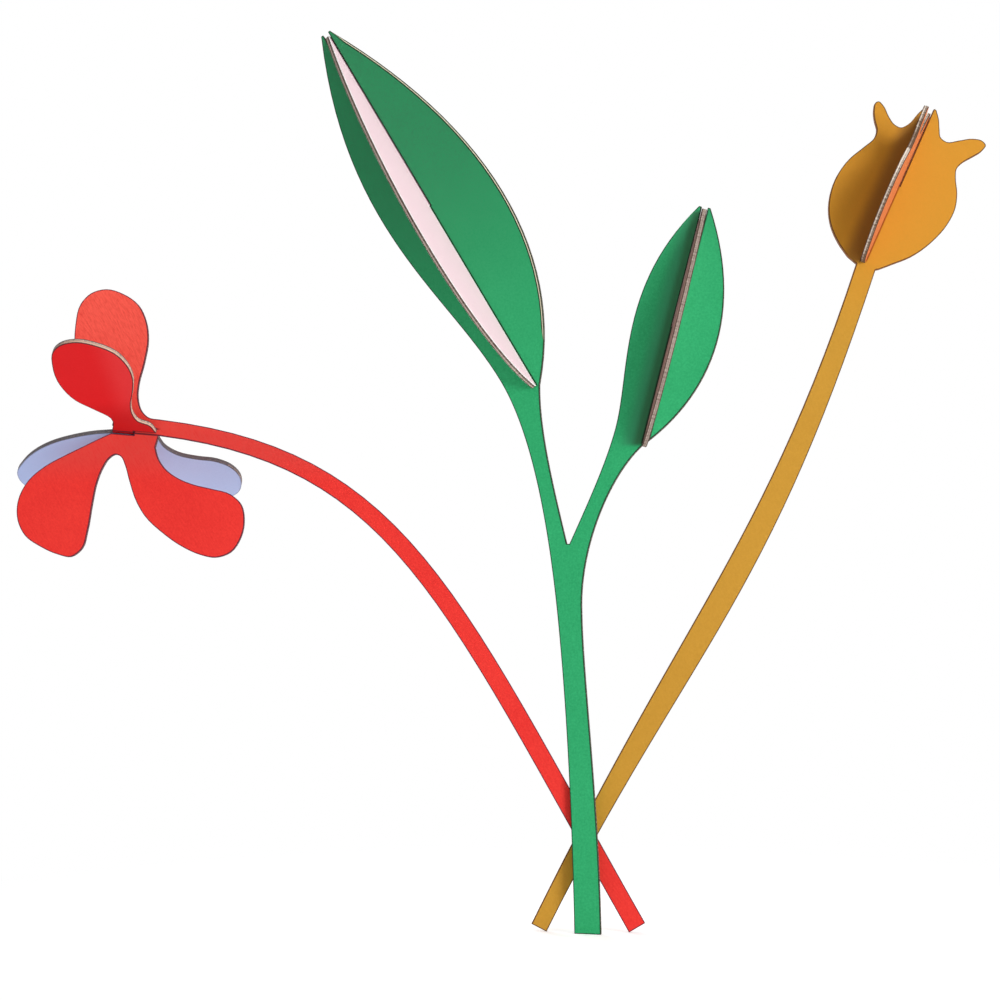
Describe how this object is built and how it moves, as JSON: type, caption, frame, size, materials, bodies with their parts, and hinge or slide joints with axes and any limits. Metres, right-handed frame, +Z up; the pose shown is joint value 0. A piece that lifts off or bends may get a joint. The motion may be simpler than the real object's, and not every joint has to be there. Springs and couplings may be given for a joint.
{
  "type": "cardboard flower cutout",
  "caption": "Flat cardboard flowers for a vase: a forked leaf stem, a bowed blossom and a tulip, given depth by crossing cut-outs that slide together in slotted halved joints.",
  "frame": {"origin": "middle of the leaf stem's end face, where it stands in its vase", "axes": "+X to the viewer's right, +Y away from the viewer, +Z up along the leaf stem's foot"},
  "size_m": [0.4086, 0.102, 0.3782],
  "materials": {
    "board": "matte",
    "green_paper": "matte",
    "pink_paper": "matte",
    "red_paper": "matte",
    "lavender_paper": "matte",
    "ochre_paper": "matte",
    "coral_paper": "matte"
  },
  "bodies": {
    "leaf_stem": {"leaf_stem_board": "board", "leaf_stem_front": "green_paper", "leaf_stem_back": "green_paper"},
    "large_leaf": {"large_leaf_board": "board", "large_leaf_left": "pink_paper", "large_leaf_right": "pink_paper"},
    "small_leaf": {"small_leaf_board": "board", "small_leaf_left": "pink_paper", "small_leaf_right": "pink_paper"},
    "blossom_stem": {"blossom_stem_board": "board", "blossom_stem_front": "red_paper", "blossom_stem_back": "red_paper"},
    "blossom_petals": {"blossom_petals_board": "board", "blossom_petals_top": "red_paper", "blossom_petals_red": "red_paper", "blossom_petals_lavender": "lavender_paper"},
    "tulip_stem": {"tulip_stem_board": "board", "tulip_stem_front": "ochre_paper", "tulip_stem_back": "ochre_paper"},
    "tulip_petals": {"tulip_petals_board": "board", "tulip_petals_left": "coral_paper", "tulip_petals_right": "coral_paper"}
  },
  "joints": [
    {"name": "large_leaf_slide", "type": "slide", "parent": "leaf_stem", "child": "large_leaf", "axis": [-0.4873, 0.1306, 0.8634], "range_m": [0, 0.09]},
    {"name": "small_leaf_slide", "type": "slide", "parent": "leaf_stem", "child": "small_leaf", "axis": [0.25, -0.067, 0.9659], "range_m": [0, 0.048]},
    {"name": "blossom_lift", "type": "slide", "parent": "leaf_stem", "child": "blossom_stem", "axis": [-0.4955, 0, 0.8686], "range_m": [0, 0.12]},
    {"name": "blossom_petals_slide", "type": "slide", "parent": "blossom_stem", "child": "blossom_petals", "axis": [-0.9962, 0, 0.0872], "range_m": [0, 0.009]},
    {"name": "tulip_lift", "type": "slide", "parent": "leaf_stem", "child": "tulip_stem", "axis": [0.454, 0, 0.891], "range_m": [0, 0.12]},
    {"name": "tulip_petals_slide", "type": "slide", "parent": "tulip_stem", "child": "tulip_petals", "axis": [0.4147, 0, 0.91], "range_m": [0, 0.035]}
  ]
}
